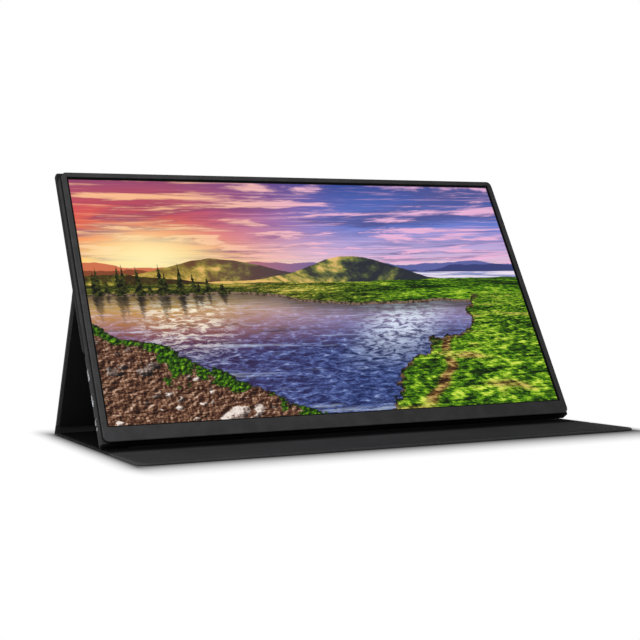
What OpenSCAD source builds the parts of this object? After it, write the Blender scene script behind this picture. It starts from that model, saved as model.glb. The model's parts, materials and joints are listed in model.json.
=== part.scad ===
// Portable monitor standing on its folding cover.
// A flat 15.6 inch monitor leans back on a three-panel leather cover: the back panel holds it by magnets,
// the stand panel props it up and the floor panel lies on the table and carries its lower edge.
// X runs across the screen, +Y away from the viewer, +Z up. The origin is on the table, under the middle.

/* [Screen] */
// Width of the lit picture
lit_w = 344.2; // [250:0.1:400]
// Height of the lit picture
lit_h = 193.6; // [140:0.1:240]
// Black rim of the panel that shows round the picture
black_rim = 1.5; // [0.5:0.1:4]
// Depth of the panel's face below the bezel's face
screen_recess = 1.6; // [1.5:0.1:2.4]
// Thickness of the liquid crystal cell
cell_t = 1.2; // [0.6:0.1:1.6]
// Thickness of the stack of optical films
films_t = 0.5; // [0.2:0.1:0.8]
// Thickness of the light guide plate
guide_t = 1.1; // [0.6:0.1:1.4]
// Thickness of the reflector sheet
reflector_t = 0.2; // [0.1:0.05:0.3]
// Thickness of the panel's sheet metal chassis
chassis_t = 0.4; // [0.2:0.05:0.5]

/* [Bezel] */
// Bezel beside the picture, each side
side_bezel = 5.0; // [4.5:0.1:15]
// Bezel above the picture
top_bezel = 5.3; // [4.6:0.1:15]
// Chin below the picture
chin_h = 11.6; // [10:0.1:25]
// Thickness of the bezel plate
bezel_t = 0.9; // [0.8:0.1:1.4]
// Radius of the bezel's corners seen from the front
bezel_r = 4.5; // [2:0.1:8]
// Rounding of the bezel's front edge
bezel_edge_r = 0.6; // [0.2:0.1:0.9]

/* [Rear shell] */
// Depth of the monitor in its thin upper part
thin_d = 6.4; // [6.2:0.1:8]
// Depth of the monitor over the electronics
hump_d = 11.2; // [10.6:0.1:14]
// Height of the thick lower part
hump_h = 63; // [58:0.5:80]
// Height of the slope from the thick part to the thin part
hump_slope = 3; // [2:0.5:10]
// Wall of the rear shell
shell_wall = 1.0; // [0.7:0.1:1.2]
// How far the shell's sides swell past the bezel
side_bulge = 1.6; // [1.2:0.1:2]
// Thickness of the dark gasket between the bezel and the shell
gasket_t = 2.3; // [0.6:0.1:2.5]
// How far the gasket stands out past the bezel at the sides
gasket_side = 0.6; // [0.2:0.1:1]
// Radius of the shell's lower corners seen from the front
shell_low_r = 1.2; // [0.8:0.1:4]
// Rounding of the shell's rear edges
shell_edge_r = 1.5; // [0.8:0.1:2.5]

/* [Ports and keys] */
// Distance of the ports' middle line from the bezel's face
port_line = 7.8; // [7.7:0.1:8.2]
// Height of the upper USB-C port above the monitor's lower edge
usb_high = 52.2; // [47:0.1:57]
// Height of the lower USB-C port
usb_low = 33.6; // [30:0.1:38]
// Height of the audio jack
jack_at = 17.8; // [17.7:0.1:22]
// Height of the small round key
key_at = 12.8; // [12.6:0.1:12.9]
// Height of the status light
led_at = 9.5; // [8.8:0.1:9.7]
// Height of the mini HDMI port on the right side
hdmi_at = 17; // [14:0.5:20]
// Height of the menu rocker on the right side
rocker_at = 36; // [32:0.5:40]
// Height of the power button on the right side
power_at = 53; // [48:0.5:56]
// Width of the steel lip round each port
port_lip = 0.5; // [0.2:0.1:0.8]
// Radius of the audio jack's bore
jack_bore_r = 1.8; // [1.76:0.01:1.85]
// Depth of the audio jack's bore
jack_bore_l = 12; // [8:0.5:15]
// Travel of the keys
key_travel = 0.4; // [0.2:0.1:0.6]
// Length of the power button's cap
power_len = 7; // [5:0.5:10]
// Length of the menu rocker
rocker_len = 10; // [8:0.5:14]

/* [Cover] */
// How far the cover's panels stand out past the bezel, each side
cover_side = 1.15; // [0:0.05:3]
// Thickness of the cover's panels
cover_t = 2.0; // [1.6:0.1:3]
// Thickness of the cover's leather
leather_t = 0.6; // [0.4:0.05:0.7]
// Thickness of the cover's lining
lining_t = 0.4; // [0.2:0.05:0.5]
// Radius of the cover's outer corners
cover_r = 9; // [3:0.5:20]
// Width of the leather turned over the edges
hem_w = 6; // [3:0.5:12]
// From the rear fold to the cover's front edge
floor_len = 219; // [200:1:260]
// From the crease to the cover's front edge
flap_len = 52; // [30:1:80]
// Width of the spine strip beside the rear fold
spine_w = 14; // [12:0.5:24]
// From the rear fold to the back fold
stand_len = 125; // [118:0.5:160]

/* [Magnetic plate] */
// Thickness of the plate behind the thin part of the monitor
plate_t = 4.8; // [4.2:0.1:7]
// How far the plate stands out past the bezel, each side
plate_side = 2.2; // [0.5:0.1:4]
// How far the plate stands up past the bezel
plate_top = 4; // [1:0.5:8]
// Gap between the hump and the plate's lower edge
plate_gap = 0.5; // [0.3:0.1:2]
// Radius of the plate's lower corners
plate_r = 7; // [3:0.5:12]
// Radius of the plate's upper corners
plate_top_r = 2; // [1:0.5:12]
// Radius of the plate's magnets
magnet_r = 5; // [3:0.5:8]

/* [Stance] */
// Lean of the screen back from upright, in degrees
tilt = 30; // [20:0.5:40]
// Height of the back fold above the monitor's lower edge, along the screen
fold_up = 121; // [105:0.5:126]

/* [Grip strips] */
// Width of each rubber strip that the monitor's lower edge stands between
grip_w = 6; // [3:0.5:10]
// Height of the strips above the lining
grip_h = 1.0; // [0.5:0.1:1.3]
// How far the strips' ends stay in from the cover's sides
grip_end = 18; // [8:1:80]

/* [Hidden] */
$fn = 64;

eps = 0.01;
// Clearance between pieces on different bodies, and round what is glued in
body_gap = 0.3;
fit_gap = 0.1;
key_gap = 0.15;

// Monitor: its own frame has X across, Y into the depth from the bezel's face, Z up from its lower edge
body_w = lit_w + 2 * side_bezel;
body_h = chin_h + lit_h + top_bezel;
shell_w = body_w + 2 * side_bulge;
cover_w = body_w + 2 * cover_side;
window_w = lit_w + 2 * black_rim;
window_h = lit_h + 2 * black_rim;
window_r = 1;
shell_front = bezel_t + gasket_t;
side_chord = hump_d - shell_front;
side_swell = side_bulge - gasket_side;
side_r = (side_chord * side_chord / 4 + side_swell * side_swell) / (2 * side_swell);
gasket_w = body_w + 2 * gasket_side;
// The shell is thicker at the sides and below than at the back
cavity_low = 1.8 * shell_wall;
cavity_w = body_w - 2 * cavity_low;
thin_in = thin_d - shell_wall;
hump_in = hump_d - shell_wall;

// Panel stack
panel_room = 0.4;
panel_side = side_bezel - cavity_low - panel_room;
panel_under = 3.4;
panel_over = 2.6;
panel_w = lit_w + 2 * panel_side;
panel_h = lit_h + panel_under + panel_over;
panel_low = chin_h - panel_under;
films_at = screen_recess + cell_t;
guide_at = films_at + films_t;
reflector_at = guide_at + guide_t;
chassis_at = reflector_at + reflector_t;
chassis_back = chassis_at + chassis_t;
led_bar_h = 2.6;
chassis_rim = 0.4;

// Boards, behind the chassis
pcb_t = 0.8;
pcb_at = chassis_back + 0.2;
pcb_back = pcb_at + pcb_t;
chip_t = 1.2;
chip_w = 9;
chip_h = 6;
chip_up = 5;
// Each large chip's place on the main board and its size
main_chips = [[34, 18, 14, 14], [62, 26, 10, 8], [60, 8, 6, 5], [82, 22, 7, 7]];
coil_x = 30;
coil_z = 40;
coil_pitch = 9;
coil_w = 3;
coil_t = 1.8;
board_low = 9;
main_w = 100;
main_h = 47;
main_left = -cavity_w / 2 + 1;
driver_h = 16;
cable_span = 45;
driver_left = main_left + main_w + cable_span;
driver_right_in = 55;
driver_right = cavity_w / 2 - driver_right_in;
cable_t = 0.15;
cable_h = 12;
cable_up = 2;
cable_lap = 8;
button_board_w = 14;
button_board_h = 49;
button_board_in = 2.4;

// Ports: the receptacles' outer sizes, and the openings in the shell's sides
usb_len = 8.94;
usb_t = 3.26;
usb_wall = 0.3;
usb_d = 7.3;
hdmi_len = 11.2;
hdmi_t = 3.2;
hdmi_d = 7.5;
hdmi_wall = 0.4;
jack_ring_r = 2.6;
jack_body_h = 6;
jack_room = 6;
jack_body_t = 2 * (hump_in - port_line) - 0.2;
port_face = 0.5;
lip_t = 0.4;
usb_tongue_w = 6.7;
usb_tongue_t = 0.7;
hdmi_tongue_w = 8;
hdmi_tongue_t = 0.8;
tongue_in = 0.8;
port_end = 1;
port_x = shell_w / 2 - port_face;
jack_ring_l = port_x - cavity_w / 2 + fit_gap;
key_r = 1.7;
key_len = 4;
dish_r = 3;
dish_deep = 0.4;
led_r = 0.8;
led_len = 3.5;
power_t = 2.6;
power_proud = key_travel + 0.1;
power_stem = 0.6;
flange_t = 0.7;
flange_lip = 0.8;
rocker_t = 2.8;
rocker_proud = key_travel + 0.3;
rocker_depth = rocker_proud + (shell_w - cavity_w) / 2;
rocker_pivot_in = 2.2;
rocker_gap = 0.45;
rocker_notch_r = 0.45;

// Speakers, screws and steel strips
magnet_cols = 6;
plate_magnet_pitch = body_w / 8;
speaker_w = 30;
speaker_h = 18;
speaker_t = 3.2;
speaker_low = 34;
cone_w = 24;
cone_h = 12;
cone_t = 0.3;
cone_step = 0.4;
speaker_l_in = 26;
speaker_l_x = main_left + main_w + speaker_l_in;
speaker_r_in = 56;
speaker_r_x = cavity_w / 2 - speaker_r_in;
slot_count = 7;
slot_pitch = 3.6;
slot_h = 11;
slot_w = 1.2;
screw_in = 28;
screw_x = [for (share = [-1, -0.36, 0.36, 1]) share * (cavity_w / 2 - screw_in)];
boss_r = 2.1;
screw_z = cavity_low + boss_r + body_gap;
screw_head_r = 1.9;
screw_head_t = 0.7;
screw_sunk = 0.1;
screw_r = 0.9;
screw_l = 4.2;
cross_l = 2.4;
cross_w = 0.4;
cross_deep = 0.4;
strip_t = 0.5;
strip_h = 12;
strip_past = 10;
strip_len = plate_magnet_pitch * (magnet_cols - 1) + 2 * strip_past;
strip_rows = [0.2, 0.8];

// Magnetic plate, behind the thin part
plate_at = thin_d + body_gap;
plate_back = plate_at + plate_t;
plate_low = hump_h + hump_slope + plate_gap;
plate_w = body_w + 2 * plate_side;
plate_h = body_h + plate_top - plate_low;
wrap_t = 0.8;
wrap_side = 1.0;
wrap_edge_r = 0.8;
magnet_t = 2;

// Cover panels: a fold is a round bead on one panel and a hollow seat on the next
fold_r = cover_t / 2;
fold_margin = 2.5;
tongue_t = 0.8;
board_t = cover_t - leather_t - lining_t;
lining_in = 2.5;
rear_y = (floor_len + fold_r) / 2 - fold_r;
front_y = rear_y - floor_len;
crease_y = front_y + flap_len;
spine_y = rear_y - spine_w;
flap_magnet_r = 4;
flap_magnet_x = [for (share = [-0.8, -0.35, 0.35, 0.8]) share * cover_w / 2];

// Stance: the monitor's rear lower edge stands body_gap above the cover's top
foot_z = cover_t + body_gap;
foot_w = hump_d - shell_edge_r;
foot_drop = foot_w * sin(tilt) - shell_edge_r * cos(tilt) + shell_edge_r;
monitor_z = foot_z + foot_drop;
fold_w = plate_back + body_gap + fold_r;
fold_z = monitor_z + fold_up * cos(tilt) - fold_w * sin(tilt);
stand_angle = 180 - asin((fold_z - fold_r) / stand_len);
fold_y = rear_y + stand_len * cos(stand_angle);
monitor_y = fold_y - fold_up * sin(tilt) - fold_w * cos(tilt);
foot_y = monitor_y + foot_w * cos(tilt) + shell_edge_r * sin(tilt);
grip_front_gap = 2.9;
grip_rear_gap = 2.4;

echo(stand_angle = stand_angle, rear_y = rear_y, fold_y = fold_y, fold_z = fold_z, crease_y = crease_y,
    monitor_y = monitor_y, monitor_z = monitor_z, foot_y = foot_y, front_y = front_y, shell_w = shell_w,
    body_h = body_h, port_x = port_x, rocker_proud = rocker_proud, rocker_pivot_in = rocker_pivot_in);

leather_c = [0.13, 0.13, 0.13];
lining_c = [0.08, 0.08, 0.085];
board_c = [0.55, 0.5, 0.42];
shell_c = [0.24, 0.24, 0.24];
steel_c = [0.68, 0.69, 0.7];
pcb_c = [0.05, 0.25, 0.14];
chip_c = [0.1, 0.1, 0.11];

// ---- shared shapes ----

// What a rounded corner leaves off a square one
module corner_cut(r) {
    translate([-eps, -eps]) difference() {
        square(r + eps);
        translate([r + eps, r + eps]) circle(r);
    }
}

// Rectangle on the X axis, centred across, with its lower and upper corners rounded
module outline(w, h, r_low, r_high) {
    difference() {
        translate([-w / 2, 0]) square([w, h]);
        for (side = [0, 1]) mirror([side, 0]) {
            if (r_low > 0) translate([-w / 2, 0]) corner_cut(r_low);
            if (r_high > 0) translate([-w / 2, h]) mirror([0, 1]) corner_cut(r_high);
        }
    }
}

// Stretches a drawing in X and Z through the depth, from the front at Y = 0
module through_depth(d) {
    translate([0, d, 0]) rotate([90, 0, 0]) linear_extrude(d) children();
}

// Stretches a drawing in Y and Z across the width, centred
module across(w) {
    translate([-w / 2, 0, 0]) rotate([90, 0, 90]) linear_extrude(w) children();
}

// Upright plate with rounded corners and rounded front and rear edges
module soft_slab(w, d, h, r_low, r_high, r_front, r_rear) {
    intersection() {
        through_depth(d) outline(w, h, r_low, r_high);
        linear_extrude(h) outline(w, d, r_front, r_rear);
        across(w) translate([0, h / 2]) rotate(-90) outline(h, d, r_front, r_rear);
    }
}

// Round rod along X, centred
module rod_x(r, l) {
    rotate([0, 90, 0]) cylinder(h = l, r = r, center = true);
}

// Slot with round ends along X, seen from the side: long in Z, thin in Y
module slot_x(len, t, d) {
    rotate([90, 0, 90]) linear_extrude(d, center = true) {
        square([t, len - t], center = true);
        for (end = [-1, 1]) translate([0, end * (len - t) / 2]) circle(t / 2);
    }
}

// Block given by its corner and size
module block(at, size) {
    translate(at) cube(size);
}

// ---- where things stand ----

module on_monitor() {
    translate([0, monitor_y, monitor_z]) rotate([-tilt, 0, 0]) children();
}

// Along the stand panel: Y runs from the rear fold up to the back fold, +Z faces the monitor
module on_stand() {
    translate([0, rear_y, fold_r]) rotate([stand_angle, 0, 0]) translate([0, 0, -fold_r]) children();
}

// ---- cover ----

// Panel outline lying flat between two depths, its front corners rounded
module panel_2d(y0, y1, r_front, inset) {
    translate([0, y0 + inset]) outline(cover_w - 2 * inset, y1 - y0 - 2 * inset, r_front - inset, 0);
}

// Turned-edge leather of a panel, with a recess for the lining and pockets for its boards
module hemmed_skin(y0, y1, r_front, pockets) {
    difference() {
        linear_extrude(cover_t) panel_2d(y0, y1, r_front, 0);
        translate([0, 0, cover_t - lining_t]) linear_extrude(lining_t + 1)
            panel_2d(y0, y1, r_front, lining_in);
        for (p = pockets)
            translate([0, 0, leather_t]) linear_extrude(cover_t) panel_2d(p[0], p[1], r_front, hem_w);
    }
}

// Thin leather that reaches from a panel's edge into a fold
module tongue(y0, y1) {
    translate([-cover_w / 2, y0, 0]) cube([cover_w, y1 - y0, tongue_t]);
}

// The fold's own bead, and the seat that the next panel keeps clear of it
module fold_bead(y) {
    translate([0, y, fold_r]) rod_x(fold_r, cover_w);
}

module fold_seat(y) {
    translate([0, y, fold_r]) rod_x(fold_r + body_gap, cover_w + 2);
}

module panel_board(y0, y1, r_front) {
    translate([0, 0, leather_t]) linear_extrude(board_t) panel_2d(y0, y1, r_front, hem_w + fit_gap);
}

module panel_lining(y0, y1, r_front) {
    translate([0, 0, cover_t - lining_t]) linear_extrude(lining_t)
        panel_2d(y0, y1, r_front, lining_in + fit_gap);
}

floor_y0 = crease_y + fold_margin;
floor_y1 = rear_y - fold_margin;
flap_y1 = crease_y - fold_margin;
stand_y1 = stand_len - fold_r - body_gap;

module floor_skin() {
    color(leather_c) {
        hemmed_skin(floor_y0, floor_y1, 0,
            [[floor_y0, spine_y + hem_w / 2], [spine_y - hem_w / 2, floor_y1]]);
        tongue(crease_y, floor_y0);
        tongue(floor_y1, rear_y);
        fold_bead(rear_y);
        fold_bead(crease_y);
    }
}

module floor_board() {
    color(board_c) panel_board(floor_y0, spine_y + hem_w / 2, 0);
}

module spine_board() {
    color(board_c) panel_board(spine_y - hem_w / 2, floor_y1, 0);
}

module floor_lining() {
    color(lining_c) panel_lining(floor_y0, floor_y1, 0);
}

// Low rubber ridge with rounded upper edges
module grip_strip(y) {
    translate([0, y, cover_t]) across(cover_w - 2 * grip_end) outline(grip_w, grip_h, 0, grip_h / 2);
}

module grip_strip_front() {
    color([0.05, 0.05, 0.05]) grip_strip(foot_y - grip_front_gap - grip_w / 2);
}

module grip_strip_rear() {
    color([0.05, 0.05, 0.05]) grip_strip(foot_y + grip_rear_gap + grip_w / 2);
}

module flap_skin() {
    color(leather_c) difference() {
        union() {
            hemmed_skin(front_y, flap_y1, cover_r, [[front_y, flap_y1]]);
            tongue(flap_y1 - eps, crease_y);
        }
        fold_seat(crease_y);
    }
}

module at_flap_magnets() {
    for (x = flap_magnet_x) translate([x, front_y + hem_w + 2 * flap_magnet_r, leather_t]) children();
}

module flap_board() {
    color(board_c) difference() {
        panel_board(front_y, flap_y1, cover_r);
        at_flap_magnets() cylinder(h = 3 * board_t, r = flap_magnet_r + fit_gap, center = true);
    }
}

module flap_magnets() {
    color(steel_c) at_flap_magnets() cylinder(h = board_t, r = flap_magnet_r);
}

module flap_lining() {
    color(lining_c) panel_lining(front_y, flap_y1, cover_r);
}

module stand_skin() {
    color(leather_c) on_stand() difference() {
        union() {
            hemmed_skin(fold_margin, stand_y1, 0, [[fold_margin, stand_y1]]);
            tongue(0, fold_margin + eps);
            tongue(stand_y1 - eps, stand_len);
        }
        fold_seat(0);
        fold_seat(stand_len);
    }
}

module stand_board() {
    color(board_c) on_stand() panel_board(fold_margin, stand_y1, 0);
}

module stand_lining() {
    color(lining_c) on_stand() panel_lining(fold_margin, stand_y1, 0);
}

// ---- magnetic plate and back panel ----

// The plate seen from the front, smaller all round by an inset
module plate_outline(inset) {
    outline(plate_w - 2 * inset, plate_h - 2 * inset, plate_r - inset, plate_top_r - inset);
}

module plate_wrap() {
    color(leather_c) on_monitor() translate([0, plate_at, plate_low]) difference() {
        soft_slab(plate_w, plate_t, plate_h, plate_r, plate_top_r, wrap_edge_r, wrap_edge_r);
        translate([0, -1, wrap_side]) through_depth(plate_t - wrap_t + 1) plate_outline(wrap_side);
    }
}

module at_plate_magnets() {
    for (row = strip_rows, col = [0:magnet_cols - 1])
        translate([(col - (magnet_cols - 1) / 2) * plate_magnet_pitch, plate_at, plate_low + row * plate_h])
            rotate([-90, 0, 0]) children();
}

module plate_core() {
    inset = wrap_side + fit_gap;
    color(board_c) on_monitor() difference() {
        translate([0, plate_at, plate_low + inset]) through_depth(plate_t - wrap_t) plate_outline(inset);
        at_plate_magnets() cylinder(h = 2 * magnet_t, r = magnet_r + fit_gap, center = true);
    }
}

module plate_magnets() {
    color(steel_c) on_monitor() at_plate_magnets() cylinder(h = magnet_t, r = magnet_r);
}

// Outer leather of the back, from the back fold up to the plate's top, with the fold's bead along it
module back_skin() {
    top = plate_low + plate_h;
    color(leather_c) on_monitor() {
        translate([0, plate_back, fold_up]) through_depth(cover_t)
            outline(cover_w, top - fold_up, 0, plate_top_r);
        translate([0, fold_w, fold_up]) rod_x(fold_r, cover_w);
    }
}

// ---- monitor ----

module at_screws() {
    for (x = screw_x) translate([x, 0, screw_z]) rotate([-90, 0, 0]) children();
}

// Front frame with its window, and the bosses that the rear screws pull on
module front_bezel() {
    screw_tip = hump_d - screw_head_t - screw_l;
    color([0.235, 0.235, 0.235]) on_monitor() {
        difference() {
            soft_slab(body_w, bezel_t, body_h, bezel_r, bezel_r, bezel_edge_r, 0);
            translate([0, -1, chin_h - black_rim]) through_depth(bezel_t + 2)
                outline(window_w, window_h, window_r, window_r);
        }
        difference() {
            at_screws() translate([0, 0, bezel_t - eps])
                cylinder(h = hump_in - bezel_t - fit_gap, r = boss_r);
            at_screws() translate([0, 0, screw_tip - 0.5]) cylinder(h = hump_d, r = screw_r + fit_gap);
        }
    }
}

// Side view of the shell: thin above, thick below, with a slope between
module shell_side_2d() {
    difference() {
        polygon([[shell_front, 0], [hump_d, 0], [hump_d, hump_h], [thin_d, hump_h + hump_slope],
            [thin_d, body_h], [shell_front, body_h]]);
        translate([hump_d, 0]) mirror([1, 0]) corner_cut(shell_edge_r);
        translate([thin_d, body_h]) rotate(180) corner_cut(shell_edge_r);
    }
}

// Top view of the shell: swelling sides that start behind the gasket
module shell_top_2d() {
    intersection() {
        outline(shell_w, hump_d, 0, 2 * shell_edge_r);
        union() {
            outline(gasket_w, hump_d, 0, 0);
            for (side = [-1, 1]) translate([side * (shell_w / 2 - side_r), shell_front + side_chord / 2])
                circle(side_r, $fn = 180);
        }
    }
}

// Thin dark ring between the bezel and the shell, seen as the seam round the case
module seam_gasket() {
    color([0.05, 0.05, 0.05]) on_monitor() translate([0, bezel_t, 0]) through_depth(gasket_t) difference() {
        outline(gasket_w, body_h, bezel_r + gasket_side, bezel_r + gasket_side);
        translate([0, cavity_low]) outline(cavity_w, body_h - 2 * cavity_low, 0, 0);
    }
}

module speaker_slots(x) {
    for (i = [0:slot_count - 1])
        translate([x + (i - (slot_count - 1) / 2) * slot_pitch, hump_d, speaker_low + speaker_h / 2])
            rotate([0, 0, 90]) slot_x(slot_h, slot_w, 4 * shell_wall);
}

// Opening for a port, with a shallow step for its lip
module port_opening(len, t, cut) {
    room = 2 * (port_lip + fit_gap);
    slot_x(len + 2 * fit_gap, t + 2 * fit_gap, cut);
    slot_x(len + room, t + room, 2 * (port_face + lip_t + fit_gap));
}

// Openings in the left side for the ports, the round key and the light, and in the right side for the rest
module side_openings() {
    cut = 4 * (shell_wall + side_bulge);
    translate([-shell_w / 2, port_line, 0]) {
        for (z = [usb_high, usb_low]) translate([0, 0, z]) port_opening(usb_len, usb_t, cut);
        translate([0, 0, jack_at]) rod_x(jack_ring_r + fit_gap, cut);
        translate([0, 0, key_at]) rod_x(key_r + key_gap, cut);
        translate([0, 0, led_at]) rod_x(led_r + fit_gap, cut);
    }
    translate([shell_w / 2, port_line, 0]) {
        translate([0, 0, hdmi_at]) port_opening(hdmi_len, hdmi_t, cut);
        translate([0, 0, power_at]) slot_x(power_len + 2 * key_gap, power_t + 2 * key_gap, cut);
        translate([0, 0, rocker_at]) slot_x(rocker_len + 2 * rocker_gap, rocker_t + 2 * key_gap, cut);
    }
}

module steel_strip_rows(gap) {
    for (row = strip_rows)
        translate([-strip_len / 2 - gap, thin_d - strip_t, plate_low + row * plate_h - strip_h / 2 - gap])
            cube([strip_len + 2 * gap, strip_t + (gap > 0 ? 1 : 0), strip_h + 2 * gap]);
}

module rear_shell() {
    color(shell_c) on_monitor() difference() {
        intersection() {
            through_depth(hump_d) outline(shell_w, body_h, shell_low_r, bezel_r + side_bulge);
            across(shell_w) shell_side_2d();
            linear_extrude(body_h) shell_top_2d();
        }
        block([-cavity_w / 2, 0, cavity_low], [cavity_w, thin_in, body_h - 2 * cavity_low]);
        block([-cavity_w / 2, 0, cavity_low], [cavity_w, hump_in, hump_h - shell_wall - cavity_low]);
        side_openings();
        speaker_slots(speaker_l_x);
        speaker_slots(speaker_r_x);
        at_screws() {
            cylinder(h = hump_d + 1, r = screw_r + fit_gap);
            translate([0, 0, hump_d - screw_head_t]) cylinder(h = 2, r = screw_head_r + fit_gap);
        }
        steel_strip_rows(fit_gap);
    }
}

// One layer of the panel stack: how far in from the panel's edge, where it starts and how thick it is
module panel_layer(inset, at, t) {
    block([-panel_w / 2 + inset, at, panel_low + inset], [panel_w - 2 * inset, t, panel_h - 2 * inset]);
}

module lcd_cell() {
    color([0.02, 0.02, 0.03]) on_monitor() panel_layer(0, screen_recess, cell_t);
}

module optical_films() {
    color([0.85, 0.87, 0.9]) on_monitor() panel_layer(1, films_at, films_t);
}

module light_guide_plate() {
    color([0.8, 0.9, 0.95]) on_monitor() difference() {
        panel_layer(1, guide_at, guide_t);
        block([-panel_w, guide_at - 1, 0], [2 * panel_w, guide_t + 2, panel_low + 1 + led_bar_h + fit_gap]);
    }
}

module led_bar() {
    color([0.9, 0.9, 0.85]) on_monitor()
        block([-panel_w / 2 + 1, guide_at, panel_low + 1], [panel_w - 2, guide_t, led_bar_h]);
}

module reflector_sheet() {
    color([0.95, 0.95, 0.95]) on_monitor() panel_layer(1, reflector_at, reflector_t);
}

// Sheet metal tray round the edges of the stack
module panel_chassis() {
    color(steel_c) on_monitor() difference() {
        panel_layer(0, films_at, chassis_back - films_at);
        panel_layer(chassis_rim, films_at - 1, chassis_at - films_at + 1);
    }
}

module pcb(x, z, w, h) {
    color(pcb_c) block([x, pcb_at, z], [w, pcb_t, h]);
}

module chip(x, z, w, h, t) {
    color(chip_c) block([x, pcb_back, z], [w, t, h]);
}

// Main board, with a notch that leaves room for the audio jack and the key
module main_board() {
    on_monitor() {
        difference() {
            pcb(main_left, board_low, main_w, main_h);
            block([main_left - 1, 0, 0],
                [jack_bore_l + jack_room, hump_d, jack_at + jack_body_h / 2 + fit_gap]);
        }
        for (c = main_chips) chip(main_left + c[0], board_low + c[1], c[2], c[3], chip_t);
        for (i = [0:5])
            chip(main_left + coil_x + coil_pitch * i, board_low + coil_z, coil_w, coil_w, coil_t);
    }
}

module driver_board() {
    on_monitor() {
        pcb(driver_left, board_low, driver_right - driver_left, driver_h);
        for (share = [0.2, 0.5, 0.8]) {
            chip_x = driver_left + share * (driver_right - driver_left) - chip_w / 2;
            chip(chip_x, board_low + chip_up, chip_w, chip_h, chip_t);
        }
    }
}

// Flat cable that laps onto both boards
module display_cable() {
    from_x = main_left + main_w - cable_lap;
    color([0.75, 0.55, 0.25]) on_monitor() block([from_x, pcb_back, board_low + cable_up],
        [driver_left + cable_lap - from_x, cable_t, cable_h]);
}

module button_board() {
    color(pcb_c) on_monitor()
        pcb(cavity_w / 2 - button_board_in - button_board_w, board_low, button_board_w, button_board_h);
}

// USB-C receptacle: a thin steel sleeve with a lip round its mouth and a tongue in its middle
module usb_c_port(z) {
    on_monitor() translate([-port_x + usb_d / 2, port_line, z]) {
        color(steel_c) difference() {
            union() {
                slot_x(usb_len, usb_t, usb_d);
                translate([(lip_t - usb_d) / 2, 0, 0])
                    slot_x(usb_len + 2 * port_lip, usb_t + 2 * port_lip, lip_t);
            }
            translate([-port_end, 0, 0]) slot_x(usb_len - 2 * usb_wall, usb_t - 2 * usb_wall, usb_d);
        }
        color(chip_c) block([-usb_d / 2 + tongue_in, -usb_tongue_t / 2, -usb_tongue_w / 2],
            [usb_d - tongue_in - port_end + eps, usb_tongue_t, usb_tongue_w]);
    }
}

module usb_c_port_upper() {
    usb_c_port(usb_high);
}

module usb_c_port_lower() {
    usb_c_port(usb_low);
}

// Mini HDMI receptacle on the right side
module mini_hdmi_port() {
    on_monitor() translate([port_x - hdmi_d / 2, port_line, hdmi_at]) {
        color(steel_c) difference() {
            union() {
                slot_x(hdmi_len, hdmi_t, hdmi_d);
                translate([(hdmi_d - lip_t) / 2, 0, 0])
                    slot_x(hdmi_len + 2 * port_lip, hdmi_t + 2 * port_lip, lip_t);
            }
            translate([port_end, 0, 0]) slot_x(hdmi_len - 2 * hdmi_wall, hdmi_t - 2 * hdmi_wall, hdmi_d);
        }
        color(chip_c) block([-hdmi_d / 2 + port_end - eps, -hdmi_tongue_t / 2, -hdmi_tongue_w / 2],
            [hdmi_d - tongue_in - port_end, hdmi_tongue_t, hdmi_tongue_w]);
    }
}

// Audio jack: a ring in the shell's side and a block behind it, bored for a 3.5 mm plug
module audio_jack() {
    body_l = jack_bore_l + port_end - jack_ring_l;
    on_monitor() translate([-port_x, port_line, jack_at]) difference() {
        union() {
            color(steel_c) translate([jack_ring_l / 2, 0, 0]) rod_x(jack_ring_r, jack_ring_l);
            color(chip_c) block([jack_ring_l - eps, -jack_body_t / 2, -jack_body_h / 2],
                [body_l, jack_body_t, jack_body_h]);
        }
        translate([jack_bore_l / 2 - eps, 0, 0]) rod_x(jack_bore_r, jack_bore_l);
    }
}

module status_led() {
    color([0.75, 0.8, 0.85]) on_monitor() translate([-port_x + led_len / 2, port_line, led_at])
        rod_x(led_r, led_len);
}

// Boxed speaker, its grille side against the shell's slots
module speaker(x) {
    on_monitor() translate([x, hump_in - speaker_t, speaker_low]) {
        color(chip_c) translate([-speaker_w / 2, 0, 0]) cube([speaker_w, speaker_t - cone_step, speaker_h]);
        color(steel_c) translate([0, speaker_t - cone_step - eps, (speaker_h - cone_h) / 2])
            through_depth(cone_t) outline(cone_w, cone_h, cone_h / 2, cone_h / 2);
    }
}

module speaker_left() {
    speaker(speaker_l_x);
}

module speaker_right() {
    speaker(speaker_r_x);
}

module shell_steel_strips() {
    color(steel_c) on_monitor() steel_strip_rows(0);
}

module shell_screws() {
    color([0.1, 0.1, 0.1]) on_monitor() at_screws() {
        difference() {
            translate([0, 0, hump_d - screw_head_t])
                cylinder(h = screw_head_t - screw_sunk, r = screw_head_r);
            for (turn = [0, 90]) rotate(turn)
                translate([-cross_l / 2, -cross_w / 2, hump_d - screw_sunk - cross_deep])
                    cube([cross_l, cross_w, 1]);
        }
        translate([0, 0, hump_d - screw_head_t - screw_l]) cylinder(h = screw_l + eps, r = screw_r);
    }
}

// Power button: a pill-shaped cap with a flange behind the wall that it can't pass
module power_button() {
    cap_l = power_proud + (shell_w - cavity_w) / 2 + power_stem;
    color([0.16, 0.16, 0.165]) on_monitor() translate([shell_w / 2 + power_proud, port_line, power_at]) {
        translate([-cap_l / 2, 0, 0]) slot_x(power_len, power_t, cap_l);
        translate([-cap_l - (flange_t / 2 - body_gap), 0, 0])
            slot_x(power_len + 2 * flange_lip, power_t + flange_lip, flange_t);
    }
}

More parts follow.
